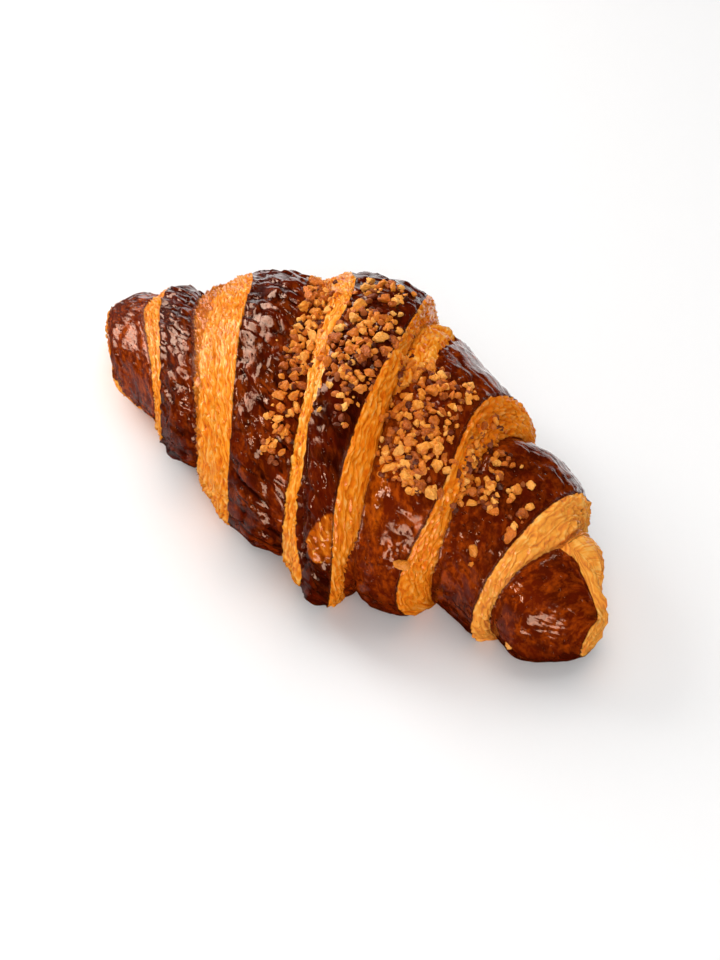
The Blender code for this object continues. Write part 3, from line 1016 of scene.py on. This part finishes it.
# Each light: degrees round and up, distance, width and height, radiance, colour. Those for the
# skin light what is dull, and those for the gloss show in the glaze alone.
SKIN_LIGHTS = {
    "top": (140, 74, 1.3, (1.0, 1.0), 2.2, WHITE),
    "key": (190, 34, 1.0, (0.4, 0.4), 9.0, WHITE),
    "fill": (-50, 42, 1.2, (0.6, 0.6), 5.0, WHITE),
}
GLOSS_LIGHTS = {
    "shine": (180, 30, 1.0, (0.8, 0.5), 14.0, ROSY),
    "near": (-45, 4, 0.8, (0.6, 0.42), 18.0, WARM),
    "rim": (118, -20, 1.0, (1.1, 0.8), 1.3, WHITE),
    "plate": (-135, -35, 1.0, (1.2, 0.8), 0.4, WHITE),
    "left": (178, -8, 1.0, (1.0, 0.35), 0.15, PINK),
    "spark": (-120, 36, 1.0, (0.14, 0.14), 60.0, WARM),
    "spark_top": (125, 52, 1.2, (0.12, 0.12), 36.0, WARM),
}


def make_floor():
    half = FLOOR_HALF
    corners = [(-half, -half, 0), (half, -half, 0), (half, half, 0), (-half, half, 0)]
    mesh = bpy.data.meshes.new("floor")
    mesh.from_pydata(corners, [], [(0, 1, 2, 3)])
    floor = bpy.data.objects.new("floor", mesh)
    floor.location.z = -FLOOR_GAP
    mesh.materials.append(floor_material())
    bpy.context.scene.collection.objects.link(floor)
    floor.visible_glossy = False


def make_light(name, on_gloss, turn, lift, distance, size, radiance, colour):
    """A soft light that looks at the croissant, and shows on its gloss alone or on its skin alone."""
    light = bpy.data.lights.new(name, "AREA")
    light.color = colour
    light.shape, light.size, light.size_y = "RECTANGLE", *size
    light.energy = radiance * math.pi * size[0] * size[1]
    turn, lift = math.radians(turn), math.radians(lift)
    at = Vector((math.cos(turn) * math.cos(lift), math.sin(turn) * math.cos(lift), math.sin(lift)))
    holder = bpy.data.objects.new(name, light)
    holder.location = at * distance
    holder.rotation_euler = (-at).to_track_quat("-Z", "Y").to_euler()
    holder.visible_camera = False
    holder.visible_glossy = on_gloss
    holder.visible_diffuse = not on_gloss
    bpy.context.scene.collection.objects.link(holder)


def make_world():
    world = bpy.data.worlds.new("studio")
    world.use_nodes = True
    background = world.node_tree.nodes["Background"]
    background.inputs["Color"].default_value = (1.0, 1.0, 1.0, 1.0)
    background.inputs["Strength"].default_value = WORLD_STRENGTH
    world.cycles_visibility.glossy = False
    bpy.context.scene.world = world


def make_camera(middle):
    data = bpy.data.cameras.new("camera")
    data.sensor_width = 36.0
    data.lens = FOCAL_LENGTH
    camera = bpy.data.objects.new("camera", data)
    at, aim = Vector(CAMERA_AT) - Vector(middle), Vector(CAMERA_AIM) - Vector(middle)
    look = (aim - at).to_track_quat("-Z", "Y").to_matrix().to_4x4()
    roll = Matrix.Rotation(math.radians(CAMERA_ROLL), 4, "Z")
    camera.matrix_world = Matrix.Translation(at * MM) @ look @ roll
    bpy.context.scene.collection.objects.link(camera)
    bpy.context.scene.camera = camera


roll, middle = make_roll()
nuts, crumbs = make_nuts(middle)
roll.data.materials.append(crust_material())
nuts.data.materials.append(nut_material("nuts", NUT_COLOURS))
crumbs.data.materials.append(nut_material("crumbs", CRUMB_COLOURS))
for piece in (roll, nuts, crumbs):
    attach(piece, "root")
    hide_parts("croissant")

make_floor()
make_world()
for on_gloss, lights in ((False, SKIN_LIGHTS), (True, GLOSS_LIGHTS)):
    for name, settings in lights.items():
        make_light(name, on_gloss, *settings)
make_camera(middle)
bpy.context.scene.view_settings.view_transform = "Standard"
